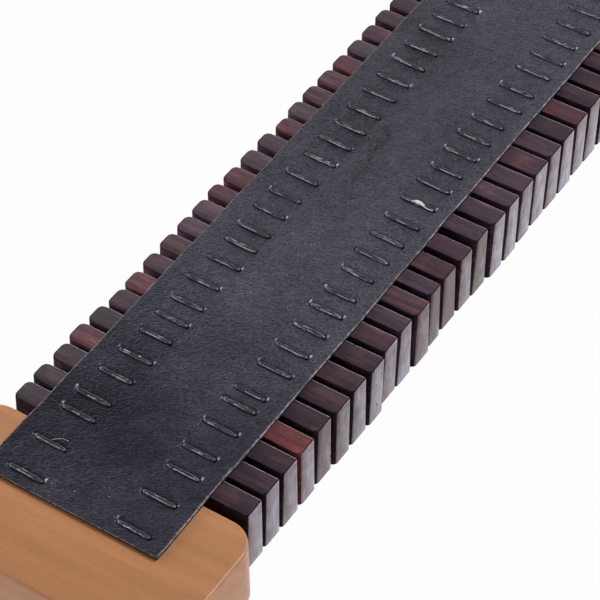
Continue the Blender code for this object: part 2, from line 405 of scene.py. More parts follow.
def end_grain_material():
    """Sanded and waxed rosewood end grain: grey bloom that is partly a painted reflection, upright rings,
    oval pores.
    """
    material, tree, shader = start_material("sanded_end_grain", 0.25)
    place = add_node(tree, "ShaderNodeTexCoord").outputs["Object"]
    block = add_node(tree, "ShaderNodeAttribute", attribute_name="block")
    bloom = add_node(tree, "ShaderNodeAttribute", attribute_name="bloom")
    open_pores = add_node(tree, "ShaderNodeAttribute", attribute_name="pores")
    moved = add_node(
        tree, "ShaderNodeVectorMath", {0: place, 1: block.outputs["Vector"]},
        operation="ADD")
    # growth rings about 1 mm apart, almost upright on the end
    rings_at = add_node(
        tree, "ShaderNodeMapping", {0: moved, 2: (0.0, 0.06, 0.0), 3: (1.0, 1.0, 9.0)},
        vector_type="TEXTURE")
    rings = add_node(
        tree, "ShaderNodeTexNoise",
        {"Vector": rings_at, "Scale": 900.0, "Detail": 3.0, "Distortion": 0.3})
    # open pores up to 1 mm across and 3 mm apart, on the slats that have them
    pores_at = add_node(
        tree, "ShaderNodeMapping", {0: moved, 3: (1.0, 1.0, 1.7)},
        vector_type="TEXTURE")
    pores = add_node(
        tree, "ShaderNodeTexVoronoi",
        {"Vector": pores_at, "Scale": 330.0, "Randomness": 1.0}, feature="F1")
    # patches of about 6 mm where the bloom is thicker
    cloud = add_node(
        tree, "ShaderNodeTexNoise", {"Vector": moved, "Scale": 160.0, "Detail": 3.0})
    cloudy = add_node(
        tree, "ShaderNodeMapRange", {0: cloud, 1: 0.3, 2: 0.7, 3: -0.22, 4: 0.22})
    share = add_node(
        tree, "ShaderNodeMath", {0: bloom.outputs["Fac"], 1: cloudy}, operation="ADD",
        use_clamp=True)
    wood = add_node(
        tree, "ShaderNodeMix", {0: share, 6: linear("#55383a"), 7: linear("#afa5b8")},
        data_type="RGBA").outputs[2]
    ring_depth = add_node(
        tree, "ShaderNodeMapRange", {0: rings, 1: 0.3, 2: 0.7, 3: 0.66, 4: 1.24})
    pore_edge = add_node(
        tree, "ShaderNodeMath", {0: open_pores.outputs["Fac"], 1: 0.17},
        operation="MULTIPLY")
    solid = add_node(
        tree, "ShaderNodeMath", {0: pores.outputs["Distance"], 1: pore_edge},
        operation="GREATER_THAN")
    pore_depth = add_node(
        tree, "ShaderNodeMapRange", {0: solid, 1: 0.0, 2: 1.0, 3: 0.15, 4: 1.0})
    shade = add_node(
        tree, "ShaderNodeMath", {0: ring_depth, 1: pore_depth}, operation="MULTIPLY")
    colour = add_node(
        tree, "ShaderNodeVectorMath", {0: wood, 3: shade}, operation="SCALE")
    bump = add_node(
        tree, "ShaderNodeBump",
        {"Strength": 0.25, "Distance": 0.05 * MM, "Height": shade})
    set_inputs(shader, {"Base Color": colour, "Normal": bump})
    return material


def beech_material(colours):
    """Sanded and lacquered beech: warm, with faint bands and small ray flecks."""
    material, tree, shader = start_material("lacquered_beech", 0.36)
    place = add_node(tree, "ShaderNodeTexCoord").outputs["Object"]
    bands_at = add_node(
        tree, "ShaderNodeMapping",
        {0: place, 2: (0.0, 0.05, 0.03), 3: (1.0, 0.07, 1.0)})
    # growth bands about 5 mm wide
    bands = add_node(
        tree, "ShaderNodeTexNoise",
        {"Vector": bands_at, "Scale": 190.0, "Detail": 4.0, "Distortion": 0.5})
    # ray flecks about 0.4 mm wide and 2 mm long
    rays_at = add_node(tree, "ShaderNodeMapping", {0: place, 3: (1.0, 0.2, 1.0)})
    rays = add_node(
        tree, "ShaderNodeTexNoise", {"Vector": rays_at, "Scale": 2200.0, "Detail": 1.0})
    depth = add_node(
        tree, "ShaderNodeMapRange", {0: bands, 1: 0.3, 2: 0.7, 3: 0.88, 4: 1.10})
    fleck = add_node(
        tree, "ShaderNodeMapRange", {0: rays, 1: 0.28, 2: 0.40, 3: 0.88, 4: 1.0})
    shade = add_node(tree, "ShaderNodeMath", {0: depth, 1: fleck}, operation="MULTIPLY")
    colour = add_node(
        tree, "ShaderNodeVectorMath", {0: colours.beech[:3], 3: shade},
        operation="SCALE")
    bump = add_node(
        tree, "ShaderNodeBump",
        {"Strength": 0.2, "Distance": 0.04 * MM, "Height": shade})
    set_inputs(shader, {"Base Color": colour, "Normal": bump})
    return material


def leather_material(colours):
    """Vegetable-tanned cowhide dyed black: fine pebbled grain with a soft bloom, and painted sheen, glints
    and shade.
    """
    material, tree, shader = start_material("black_cowhide", 0.5, 1.42)
    place = add_node(
        tree, "ShaderNodeAttribute", attribute_name="hide").outputs["Vector"]
    scuff = add_node(tree, "ShaderNodeAttribute", attribute_name="scuff").outputs["Fac"]
    # bloom in patches of about 30 mm, broken by slanting mottling of 3 mm
    cloud = add_node(
        tree, "ShaderNodeTexNoise", {"Vector": place, "Scale": 33.0, "Detail": 2.0})
    stretch = add_node(
        tree, "ShaderNodeMapping",
        {0: place, 2: (0.0, 0.0, -0.98), 3: (1.45, 1.0, 1.0)}, vector_type="TEXTURE")
    mottle = add_node(
        tree, "ShaderNodeTexNoise",
        {"Vector": stretch, "Scale": 330.0, "Detail": 4.0, "Roughness": 0.6})
    # grain pebbles about 1.5 mm across, a little coarser than real so they show
    pebbles = add_node(
        tree, "ShaderNodeTexVoronoi",
        {"Vector": stretch, "Scale": 800.0, "Smoothness": 0.35, "Randomness": 1.0},
        feature="SMOOTH_F1")
    # short creases about 0.7 mm wide and 1 mm long, slanting over the strap
    creases = add_node(
        tree, "ShaderNodeTexNoise",
        {"Vector": stretch, "Scale": 1500.0, "Detail": 1.0, "Roughness": 0.5})
    # painted glints: pale specks up to 0.5 mm across, in the cloudy patches, where the grain would catch the
    # light
    specks = add_node(
        tree, "ShaderNodeTexVoronoi",
        {"Vector": place, "Scale": 330.0, "Randomness": 1.0}, feature="F1")
    speck_size = add_node(
        tree, "ShaderNodeMapRange", {0: cloud, 1: 0.46, 2: 0.66, 3: 0.0, 4: 0.09})
    speck = add_node(
        tree, "ShaderNodeMath", {0: specks.outputs["Distance"], 1: speck_size},
        operation="LESS_THAN")
    # painted sheen: the bloom colour is thickest about 110 mm from the middle and fades out at the handles,
    # standing for the light's sheen on the strap
    parts = add_node(tree, "ShaderNodeSeparateXYZ", {0: place}).outputs
    from_middle = add_node(tree, "ShaderNodeMath", {0: parts[0]}, operation="ABSOLUTE")
    rubbed = add_node(
        tree, "ShaderNodeMapRange",
        {0: from_middle, 1: 0.110, 2: 0.205, 3: -0.13, 4: -0.70},
        interpolation_type="SMOOTHSTEP")
    rubbed = add_node(
        tree, "ShaderNodeMath", {0: from_middle, 1: 2.4, 2: rubbed},
        operation="MULTIPLY_ADD")
    share = add_node(tree, "ShaderNodeMath", {0: cloud, 1: mottle}, operation="ADD")
    share = add_node(tree, "ShaderNodeMath", {0: share, 1: rubbed}, operation="ADD")
    # the bloom colour grows a little towards the hide's -Y edge
    share = add_node(
        tree, "ShaderNodeMath", {0: parts[1], 1: -2.4, 2: share},
        operation="MULTIPLY_ADD")
    share = add_node(
        tree, "ShaderNodeMapRange", {0: share, 1: 0.30, 2: 1.75},
        interpolation_type="SMOOTHSTEP")
    hide = add_node(
        tree, "ShaderNodeMix", {0: share, 6: colours.leather, 7: colours.leather_bloom_and_sheen},
        data_type="RGBA").outputs[2]
    # painted shade in the grain: the colour follows the creases' height, darker in the hollows and paler on
    # the ridges
    crease = add_node(
        tree, "ShaderNodeMapRange", {0: creases, 1: 0.36, 2: 0.64, 3: 0.62, 4: 1.32})
    # where the painted light is below zero, painted shade darkens the leather beside the stitches and in the
    # folds
    waxed = add_node(
        tree, "ShaderNodeMapRange", {0: scuff, 1: -1.0, 2: 0.0, 3: 0.0, 4: 1.0})
    tone = add_node(tree, "ShaderNodeMath", {0: crease, 1: waxed}, operation="MULTIPLY")
    hide = add_node(tree, "ShaderNodeVectorMath", {0: hide, 3: tone}, operation="SCALE")
    # painted highlights: the specks and the painted light above zero turn the hide pale
    pale = add_node(
        tree, "ShaderNodeMath", {0: speck, 1: 0.45, 2: scuff}, operation="MULTIPLY_ADD",
        use_clamp=True)
    colour = add_node(
        tree, "ShaderNodeMix", {0: pale, 6: hide, 7: colours.leather_painted_glint},
        data_type="RGBA").outputs[2]
    height = add_node(
        tree, "ShaderNodeMath", {0: crease, 1: pebbles.outputs["Distance"]},
        operation="SUBTRACT")
    # hands have worn the grain smooth near the handles
    grain = add_node(
        tree, "ShaderNodeMapRange",
        {0: from_middle, 1: 0.060, 2: 0.185, 3: 1.0, 4: 0.30},
        interpolation_type="SMOOTHSTEP")
    bump = add_node(
        tree, "ShaderNodeBump",
        {"Strength": grain, "Distance": 0.34 * MM, "Height": height})
    gloss = add_node(
        tree, "ShaderNodeMapRange", {0: mottle, 1: 0.3, 2: 0.7, 3: 0.42, 4: 0.32})
    polish = add_node(
        tree, "ShaderNodeMath", {0: grain, 1: 0.20, 2: 0.82}, operation="MULTIPLY_ADD")
    gloss = add_node(
        tree, "ShaderNodeMath", {0: gloss, 1: polish}, operation="MULTIPLY")
    set_inputs(shader, {
        "Specular Tint": linear("#f0eeff"), "Base Color": colour, "Normal": bump,
        "Roughness": gloss})
    return material


def raw_edge_material(colours, top):
    """Cut edge of the hide: pale dry fibres near the grain, painted shade darkening it lower down, and
    patches of dye.
    """
    material, tree, shader = start_material("raw_hide_edge", 0.8, 1.2)
    place = add_node(
        tree, "ShaderNodeAttribute", attribute_name="hide").outputs["Vector"]
    fibres = add_node(
        tree, "ShaderNodeTexNoise",
        {"Vector": place, "Scale": 500.0, "Detail": 4.0, "Roughness": 0.65})
    height = add_node(tree, "ShaderNodeSeparateXYZ", {0: place}).outputs[2]
    # painted shade: below its top 0.4 to 0.75 mm the cut edge is darkened, for the shadow under the pale
    # line
    dyed = add_node(
        tree, "ShaderNodeMapRange",
        {0: height, 1: top - 0.75 * MM, 2: top - 0.40 * MM, 3: 0.97, 4: 0.0},
        interpolation_type="SMOOTHSTEP")
    patchy = add_node(
        tree, "ShaderNodeMapRange", {0: fibres, 1: 0.42, 2: 0.62, 3: 0.75, 4: 0.0})
    bleed = add_node(tree, "ShaderNodeMath", {0: dyed, 1: patchy}, operation="MAXIMUM")
    colour = add_node(
        tree, "ShaderNodeMix", {0: bleed, 6: colours.raw_edge, 7: colours.leather},
        data_type="RGBA").outputs[2]
    bump = add_node(
        tree, "ShaderNodeBump",
        {"Strength": 0.5, "Distance": 0.1 * MM, "Height": fibres})
    set_inputs(shader, {"Base Color": colour, "Normal": bump})
    return material


def flesh_side_material(colours):
    """Underside of the hide: dyed through, matt and napped."""
    material, tree, shader = start_material("napped_flesh_side", 0.9)
    place = add_node(
        tree, "ShaderNodeAttribute", attribute_name="hide").outputs["Vector"]
    nap = add_node(
        tree, "ShaderNodeTexNoise", {"Vector": place, "Scale": 1100.0, "Detail": 4.0})
    depth = add_node(
        tree, "ShaderNodeMapRange", {0: nap, 1: 0.3, 2: 0.7, 3: 0.7, 4: 1.4})
    colour = add_node(
        tree, "ShaderNodeVectorMath", {0: colours.leather[:3], 3: depth},
        operation="SCALE")
    set_inputs(shader, {"Base Color": colour})
    return material


def thread_material(colours):
    """Waxed linen thread: dark, slightly glossy, pale where wax or fibres catch light."""
    material, tree, shader = start_material("waxed_linen", 0.26)
    place = add_node(tree, "ShaderNodeTexCoord").outputs["Object"]
    # worn wax in streaks of about 0.7 by 2 mm, in patches of about 8 mm
    streaks_at = add_node(tree, "ShaderNodeMapping", {0: place, 3: (1.0, 0.3, 1.0)})
    fibres = add_node(
        tree, "ShaderNodeTexNoise",
        {"Vector": streaks_at, "Scale": 1500.0, "Detail": 2.0})
    worn = add_node(
        tree, "ShaderNodeTexNoise", {"Vector": place, "Scale": 130.0, "Detail": 1.0})
    patch = add_node(
        tree, "ShaderNodeMapRange", {0: fibres, 1: 0.48, 2: 0.68, 3: 0.0, 4: 0.55})
    rubbed = add_node(
        tree, "ShaderNodeMapRange", {0: worn, 1: 0.40, 2: 0.66, 3: 0.0, 4: 1.0})
    share = add_node(
        tree, "ShaderNodeMath", {0: patch, 1: rubbed}, operation="MULTIPLY")
    colour = add_node(
        tree, "ShaderNodeMix", {0: share, 6: colours.thread, 7: colours.wax},
        data_type="RGBA").outputs[2]
    bump = add_node(
        tree, "ShaderNodeBump",
        {"Strength": 0.4, "Distance": 0.06 * MM, "Height": fibres})
    set_inputs(shader, {"Base Color": colour, "Normal": bump})
    return material


def lumpy_material(name, colour, darkest, roughness, ior):
    """A little of one substance, unevenly shaded in lumps of about a millimetre."""
    material, tree, shader = start_material(name, roughness, ior)
    place = add_node(tree, "ShaderNodeTexCoord").outputs["Object"]
    lumps = add_node(tree, "ShaderNodeTexNoise", {"Vector": place, "Scale": 900.0})
    depth = add_node(
        tree, "ShaderNodeMapRange", {0: lumps, 1: 0.3, 2: 0.7, 3: darkest, 4: 1.0})
    shaded = add_node(
        tree, "ShaderNodeVectorMath", {0: colour[:3], 3: depth}, operation="SCALE")
    set_inputs(shader, {"Base Color": shaded})
    return material


def chain_x(name):
    """The lowest and highest X of a slat or handle."""
    low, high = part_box(name)
    return low[0], high[0]


def row_ends(row):
    """The Y of the two ends of a row's stitches."""
    low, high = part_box(row)
    return high[1] - THREAD_RADIUS, low[1] + THREAD_RADIUS


def bend_x(first, second):
    """The X of the hinge between two neighbours."""
    return JOINT_X[frozenset((BODY_OF[first], BODY_OF[second]))]


def finish_piece(name, mesh, body, replaces):
    """Makes the mesh an object at the origin, riding on its body if it has one."""
    piece = bpy.data.objects.new(name, mesh)
    bpy.context.scene.collection.objects.link(piece)
    if body:
        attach(piece, body)
    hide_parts(*replaces)
    return piece


def write_mesh(bm, name, materials):
    """Closes a bmesh into a mesh with its materials and smooth shading."""
    mesh = bpy.data.meshes.new(name)
    bmesh.ops.recalc_face_normals(bm, faces=bm.faces)
    bm.to_mesh(mesh)
    bm.free()
    for material in materials:
        mesh.materials.append(material)
    mesh.shade_smooth()
    mesh.set_sharp_from_angle(angle=SHARP_ANGLE)
    return mesh


def fill_attribute(mesh, name, kind, field, value):
    """One value for the whole mesh, kept with it for its material."""
    layer = mesh.attributes.new(name, kind, "POINT")
    layer.data.foreach_set(field, value * len(mesh.vertices))


def block(size, centre):
    """A box as a bmesh."""
    bm = bmesh.new()
    bmesh.ops.create_cube(bm, size=1.0)
    bmesh.ops.scale(bm, vec=size, verts=bm.verts)
    bmesh.ops.translate(bm, vec=centre, verts=bm.verts)
    return bm


def round_edges(bm, edges, radius, segments):
    """Rounds some edges of a bmesh."""
    bmesh.ops.bevel(
        bm, geom=edges, offset=radius, segments=segments, profile=0.5,
        affect="EDGES", clamp_overlap=True, material=-1)


def along(edge, axis):
    """Whether an edge runs along an axis."""
    start, end = (vert.co for vert in edge.verts)
    return abs((end - start).normalized()[axis]) > 0.98


def rim_of(bm, axis):
    """The edges round the two faces that look along an axis."""
    return [
        edge for edge in bm.edges
        if any(abs(face.normal[axis]) > 0.98 for face in edge.link_faces)]


class RATTLE_OT_slats(bpy.types.Operator):
    """Rosewood slats, each with its own taper, length and tone, as cut by hand"""

    bl_idname = "rattle.slats"
    bl_label = "Slats"

    def execute(self, context):
        sizes = context.scene.rattle_sizes
        materials = [
            rosewood_material("planed_rosewood", 1.0, 0.36, 1.5),
            end_grain_material(),
            # sawn sides and end arrises: a darker copy of the wood, as painted shade
            rosewood_material("sawn_rosewood", 0.55, 0.80, 1.2)]
        foot_left = chain_x("handle_left")[1] + HANDLE_FOOT_GAP
        for index, name in enumerate(SLATS):
            dice = random.Random(100 + index)
            low, high = (Vector(corner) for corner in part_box(name))
            middle = (low + high) / 2
            fit = [value * MM for value in self.fit_of(index)]
            bm = self.tapered_block(low, high, middle, fit, foot_left)
            foot_left = middle.x + fit[6] + sizes.foot_gap
            self.round_all_edges(bm, middle, sizes, dice)
            self.choose_materials(bm)
            self.add_bloom_and_painted_light(bm, name, middle, high, dice)
            mesh = write_mesh(bm, "rosewood_" + name, materials)
            self.add_tones(mesh, index, middle, high)
            shift = [dice.uniform(-1, 1) for _ in range(3)]
            fill_attribute(mesh, "block", "FLOAT_VECTOR", "vector", shift)
            fill_attribute(mesh, "pores", "FLOAT", "value", [END_PORES.get(name, 0.0)])
            # mauve is purple rosewood under more bloom
            finish_piece("rosewood_" + name, mesh, BODY_OF[name], [name])
        return {"FINISHED"}

    @staticmethod
    def fit_of(index):
        """A slat's fit in mm: measured where the picture shows it, else made up."""
        if index < len(SLAT_FITS):
            return SLAT_FITS[index]
        dice = random.Random(300 + index)
        left = dice.uniform(-4.9, -3.9)
        right = dice.uniform(3.9, 4.9)
        return (
            left, right, left + dice.uniform(-0.3, 0.3), right + dice.uniform(-0.3, 0.3),
            dice.uniform(-0.6, 0.6), dice.uniform(-0.6, 0.6),
            dice.uniform(3.6, 4.3), max(0.0, dice.uniform(-0.6, 1.0)))

    @staticmethod
    def tapered_block(low, high, middle, fit, foot_left):
        """The slat with sharp edges, its corners moved to its own fit."""
        top = {-1: fit[0:2], 1: fit[2:4]}
        longer = {-1: fit[4], 1: fit[5]}
        foot = (foot_left - middle.x, fit[6])
        bm = block((2, 2, 2), (0, 0, 0))
        for vert in bm.verts:
            side, end, level = (round(value) for value in vert.co)
            edges = top[end] if level > 0 else foot
            vert.co = (
                middle.x + edges[(side + 1) // 2],
                middle.y + end * (high.y - middle.y + longer[end]),
                high.z if level > 0 else low.z + fit[7])
        bm.normal_update()
        return bm

    @staticmethod
    def round_all_edges(bm, middle, sizes, dice):
        """Rounds the four upright corners, each by its own wear, and then the rims."""
        for is_far, is_left, radius in (
                (True, True, sizes.far_radius), (True, False, sizes.far_radius),
                (False, True, sizes.end_radius * dice.uniform(0.7, 1.2)),
                (False, False, sizes.worn_radius)):
            corner = [
                e for e in bm.edges if along(e, 2)
                and (e.verts[0].co.y > middle.y) == is_far
                and (e.verts[0].co.x < middle.x) == is_left]
            round_edges(bm, corner, radius, 6)
        bm.normal_update()
        round_edges(bm, rim_of(bm, 2), sizes.edge_radius, 3)
        bm.normal_update()

    @staticmethod
    def choose_materials(bm):
        """Planed wood on top (0), sanded end grain (1), and sawn wood darkened as painted shade (2)."""
        for face in bm.faces:
            x, y, z = face.normal
            end = abs(z) < 0.3 and (abs(y) > 0.9 or x > 0 and y < -0.4)
            # painted highlight: the long top arris on the right takes the pale end grain, a bright line
            # where it catches the light
            arris = x > 0.1 and z > 0.5 and abs(y) < 0.15
            # sawn sides, and the arrises at the ends, darker as painted shade where less light reaches them
            dark = abs(x) > 0.3 and abs(z) < 0.8 or abs(y) > 0.15
            face.material_index = 1 if end or arris else 2 if dark else 0

    @staticmethod
    def add_bloom_and_painted_light(bm, name, middle, high, dice):
        """How grey each point of the ends is, partly bloom and partly painted reflection: painted shade
        turns them brown at the left and top, and the right top arris is painted pale.
        """
        flats = [f for f in bm.faces if abs(f.normal.y) > 0.99 and f.calc_area() > 6e-5]
        bmesh.ops.inset_individual(bm, faces=flats, thickness=0.3 * MM)
        inner = {vert for face in flats for vert in face.verts}
        shift = dice.uniform(0.3, 1.3) * MM
        for vert in inner:
            vert.co.x += shift if vert.co.x < middle.x else 0
            vert.co.z -= shift if vert.co.z > middle.z else 0
        layer = bm.verts.layers.float.new("bloom")
        bloom = END_BLOOM_AND_REFLECTION.get(name, dice.uniform(0.9, 1.1))
        for vert in bm.verts:
            # painted shade: the ends turn brown at the left and top, where their rounding turns away from
            # the light
            painted_shade_edge = vert.co.x < middle.x or vert.co.z > high.z - 3 * MM
            vert[layer] = bloom - (0.7 if painted_shade_edge and vert not in inner else 0)
            # painted highlight along the top arris on the right
            on_arris = vert.co.x > middle.x + 3 * MM and vert.co.z > high.z - 0.6 * MM
            if on_arris:
                vert[layer] = 0.75

    @staticmethod
    def add_tones(mesh, index, middle, high):
        """The wood's two colours: those of the near half, and those of the far half."""
        near = TONES[SLAT_TONES[index % len(SLAT_TONES)]]
        far = TONES[FAR_TONES[index % len(FAR_TONES)]]
        for layer, near_tone, far_tone in zip(("tone", "glow"), near, far):
            values = mesh.attributes.new(layer, "FLOAT_COLOR", "POINT").data
            for value, vert in zip(values, mesh.vertices):
                value.color = linear(far_tone if vert.co.y > middle.y else near_tone)
                # painted light: the sides are made 2.4 times paler at the far end, where light reaches them
                # in the open
                if vert.co.y > middle.y and vert.co.z < high.z - 0.3 * MM:
                    value.color = [2.4 * part for part in value.color[:3]] + [1.0]


class RATTLE_OT_handles(bpy.types.Operator):
    """Beech grip blocks with rounded plan corners and eased edges"""

    bl_idname = "rattle.handles"
    bl_label = "Handles"

    def execute(self, context):
        sizes = context.scene.rattle_sizes
        materials = [beech_material(context.scene.rattle_colours)]
        for name in ("handle_left", "handle_right"):
            low, high = (Vector(corner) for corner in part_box(name))
            bm = block(high - low, (low + high) / 2)
            round_edges(
                bm, [e for e in bm.edges if along(e, 2)], sizes.handle_corner, 16)
            round_edges(bm, rim_of(bm, 2), sizes.handle_edge, 4)
            mesh = write_mesh(bm, "beech_" + name, materials)
            finish_piece("beech_" + name, mesh, BODY_OF[name], [name])
        return {"FINISHED"}


def stitch_plan():
    """Every stitch: its slat or handle and its two ends.

    The left handle's stitches and those of the slats in view are listed one by one.
    The rest stray a little from the rows of the thread's own solid.
    """
    dice = random.Random(7)
    plan = []
    for row, placed in (("thread_left", LEFT_ROW), ("thread_right", RIGHT_ROW)):
        first_y, last_y = row_ends(row)
        spots = []
        for name in CHAIN:
            left, right = chain_x(name)
            if name == "handle_left":
                spots += [(name, right, right), (name, right, right)]
            elif name == "handle_right":
                spots += [(name, left + inset, left) for inset in HANDLE_STITCHES]
            else:
                middle = (left + right) / 2
                spots.append((name, middle - 0.6 * MM, middle))
        for number, (name, x, middle) in enumerate(spots):
            stray = dice.uniform(-1.2, 0.9) * MM
            slant = dice.uniform(0.0, 0.5) * MM
            shift = dice.uniform(-0.5, 0.5) * MM
            start = (x + stray + slant, first_y + shift)
            end = (x + stray, last_y + shift)
            if number < len(placed):
                side, lean, top_y, bottom_y = (value * MM for value in placed[number])
                start = (middle + side + lean / 2, top_y)
                end = (middle + side - lean / 2, bottom_y)
            plan.append({"on": name, "start": start, "end": end})
    return plan


def mound(dx, dy, middle, half):
    """A smooth rise from 0 to 1 about a middle, with its half widths, both in mm."""
    across = (dx - middle[0] * MM) / (half[0] * MM)
    down = (dy - middle[1] * MM) / (half[1] * MM)
    return math.exp(-(math.hypot(across, down) ** 2))


def hide_shape(x, y, ends, lines, sizes):
    """How far the grain side rises or dips at a place, and how much light or shade is painted there.

    Lines are the stitches near the place, and ends are their needle holes. The painted light
    is above zero where a highlight is painted on the puckers and wrinkle tops, and below zero where shade is
    painted beside the stitches and in the folds.
    """
    # two sizes of soft swell, about 14 and 4 mm long
    lift = 0.22 * MM * noise.noise(Vector((x * 70, y * 70, 0.3)))
    lift += 0.07 * MM * noise.noise(Vector((x * 260, y * 260, 0.7)))
    scuff = 0.0
    for start, end in lines:
        low, high = min(start[1], end[1]), max(start[1], end[1])
        share = min(1.0, max(0.0, (y - end[1]) / (start[1] - end[1])))
        dx = x - (end[0] + share * (start[0] - end[0]))
        dy = max(0.0, low - y, y - high)
        if abs(dx) > 6 * MM or dy > 6 * MM:
            continue
        far = math.hypot(dx, dy)
        # painted shade to the right of the stitch, where the thread shades the leather; its groove, and the
        # wide dip it pulls down
        scuff -= 0.6 * math.exp(-((math.hypot(dx - 1.3 * MM, dy) / (1.2 * MM)) ** 4))
        lift -= sizes.groove * math.exp(-((far / (1.15 * MM)) ** 4))
        lift -= 0.10 * MM * math.exp(-((far / (4.5 * MM)) ** 2))
    for hole_x, hole_y, outward in ends:
        dx, dy = x - hole_x, (y - hole_y) * outward
        if math.hypot(dx, dy) > 4 * MM:
            continue
        # the hole, the pucker on its right with a painted highlight on its top, and a low one on its left
        lift -= 0.8 * MM * mound(dx, dy, (0, 0.25), (0.8, 0.45))
        rise = mound(dx, dy, (1.3, 0.70), (0.90, 0.38))
        rise *= max(0.2, 0.9 + 1.5 * noise.noise(Vector((hole_x * 900, hole_y * 900, 4.5))))
        lift += sizes.pucker * rise
        scuff += (1.7 if outward > 0 else 2.0) * rise ** 2
        lift += 0.4 * sizes.pucker * mound(dx, dy, (-0.8, 0.8), (0.6, 0.5))
    for begin, finish, height, half in WRINKLES:
        ax, ay, bx, by = (value * MM for value in (*begin, *finish))
        length = (bx - ax) ** 2 + (by - ay) ** 2
        share = min(1.0, max(0.0, ((x - ax) * (bx - ax) + (y - ay) * (by - ay)) / length))
        bend = 1.6 * MM * math.sin(share * 7)
        far = math.hypot(x - ax - share * (bx - ax), y - ay - share * (by - ay) - bend)
        if far < 3 * half * MM:
            rise = height * math.exp(-((far / (half * MM)) ** 2))
            rise *= 1 + 0.8 * noise.noise(Vector((x * 300, y * 300, 2.5)))
            lift += rise * MM
            # a faint painted highlight along a wrinkle's top, and painted shade in a fold
            scuff += rise * (0.08 if height > 0 else 1.2)
    return lift, scuff


class RATTLE_OT_strap(bpy.types.Operator):
    """Leather strap, in one strip for every gap, so that each bends over its hinge"""

    bl_idname = "rattle.strap"
    bl_label = "Strap"

    def execute(self, context):
        sizes = context.scene.rattle_sizes
        colours = context.scene.rattle_colours
        low, high = (Vector(corner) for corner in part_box("strap"))
        materials = [
            leather_material(colours), raw_edge_material(colours, high.z),
            flesh_side_material(colours)]
        plan = stitch_plan()
        lines_y = self.cross_lines(low.y, high.y, plan, sizes)
        for first, second in zip(CHAIN, CHAIN[1:]):
            begin = low.x if first == "handle_left" else sum(chain_x(first)) / 2
            finish = high.x if second == "handle_right" else sum(chain_x(second)) / 2
            bm, lower = self.flat_strip(begin, finish, lines_y, low, high)
            lines = [
                (stitch["start"], stitch["end"]) for stitch in plan
                if begin - 7 * MM < stitch["start"][0] < finish + 7 * MM]
            self.shape_strip(bm, lower, lines, low, high, sizes)
            name = f"hide_{first}_to_{second}".replace("handle_", "")
            mesh = write_mesh(bm, name, materials)
            piece = finish_piece(name, mesh, None, ["strap"])
            hinge = bend_x(first, second)
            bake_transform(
                piece, BODY_OF[first], BODY_OF[second],
                start=(hinge - 2.5 * MM, 0, 0), end=(hinge + 2.5 * MM, 0, 0))
        return {"FINISHED"}

    @staticmethod
    def flat_strip(begin, finish, lines_y, low, high):
        """A flat strip of hide that keeps each point's place, and its lower points."""
        columns = max(2, round((finish - begin) / (0.5 * MM)))
        bm = bmesh.new()
        bmesh.ops.create_grid(
            bm, x_segments=columns, y_segments=len(lines_y) - 1, size=0.5)
        rest = bm.verts.layers.float_vector.new("hide")
        bm.verts.layers.float.new("scuff")
        for vert in bm.verts:
            across = round((vert.co.y + 0.5) * (len(lines_y) - 1))
            x = begin + (vert.co.x + 0.5) * (finish - begin)
            vert.co = (x, lines_y[across], high.z)
            vert[rest] = vert.co
        made = bmesh.ops.extrude_face_region(bm, geom=bm.faces[:])
        lower = {v for v in made["geom"] if isinstance(v, bmesh.types.BMVert)}
        bmesh.ops.translate(bm, vec=(0, 0, low.z - high.z), verts=list(lower))
        for vert in lower:
            vert[rest] = vert.co
        return bm, lower

    def shape_strip(self, bm, lower, lines, low, high, sizes):
        """Sinks the stitches and wrinkles into the grain side and strays the cut edges."""
        ends = [
            (*spot, 1 if spot[1] > other[1] else -1)
            for line in lines for spot, other in (line, line[::-1])]
        edge = {
            vert for vert in bm.verts
            if min(vert.co.y - low.y, high.y - vert.co.y) < 0.5 * sizes.rim}
        # the layer of painted highlights and painted shade
        worn = bm.verts.layers.float["scuff"]
        for vert in bm.verts:
            x, y, z = vert.co
            lift, scuff = 0.0, 0.0
            if vert not in lower:
                lift, scuff = hide_shape(x, y, ends, lines, sizes)
                if vert in edge:
                    lift -= 0.8 * sizes.rim
                vert.co.z = max(z + lift, low.z + 0.2 * MM)
            vert[worn] = max(-1.0, min(scuff, 1.0))
            vert.co.y += self.wander(x, y, low, high, sizes)
        bmesh.ops.recalc_face_normals(bm, faces=bm.faces)
        for face in bm.faces:
            below = sum(vert in lower for vert in face.verts)
            rim = any(vert in edge for vert in face.verts)
            face.material_index = 2 if below == 4 else 1 if below or rim else 0

    @staticmethod
    def cross_lines(low, high, plan, sizes):
        """Y of the grid lines: close together by the needle holes, wide elsewhere."""
        ends = [spot[1] for stitch in plan for spot in (stitch["start"], stitch["end"])]
        y = low + sizes.rim
        lines = [low, y]
        while y < high - sizes.rim - 0.5 * MM:
            near = min(abs(y - end) for end in ends)
            y += 0.36 * MM if near < 1.6 * MM else 0.85 * MM
            lines.append(min(y, high - sizes.rim))
        if lines[-1] < high - sizes.rim:
            lines.append(high - sizes.rim)
        lines.append(high)
        return lines

    @staticmethod
    def wander(x, y, low, high, sizes):
        """How far a knife cut by hand strays, fading out 6 mm in from the edge."""
        near = max(0.0, 1 - min(y - low.y, high.y - y) / (6 * MM))
        side = 1 if y > (low.y + high.y) / 2 else -1
        stray = noise.noise(Vector((x * 45, side * 3.0, 0.5)))
        stray += 0.5 * noise.noise(Vector((x * 160, side * 5.0, 0.5)))
        drift = min(1.0, max(0.0, (x + 90 * MM) / (45 * MM))) if side < 0 else 0.0
        return (sizes.edge_wander * stray + 0.45 * MM * drift) * near


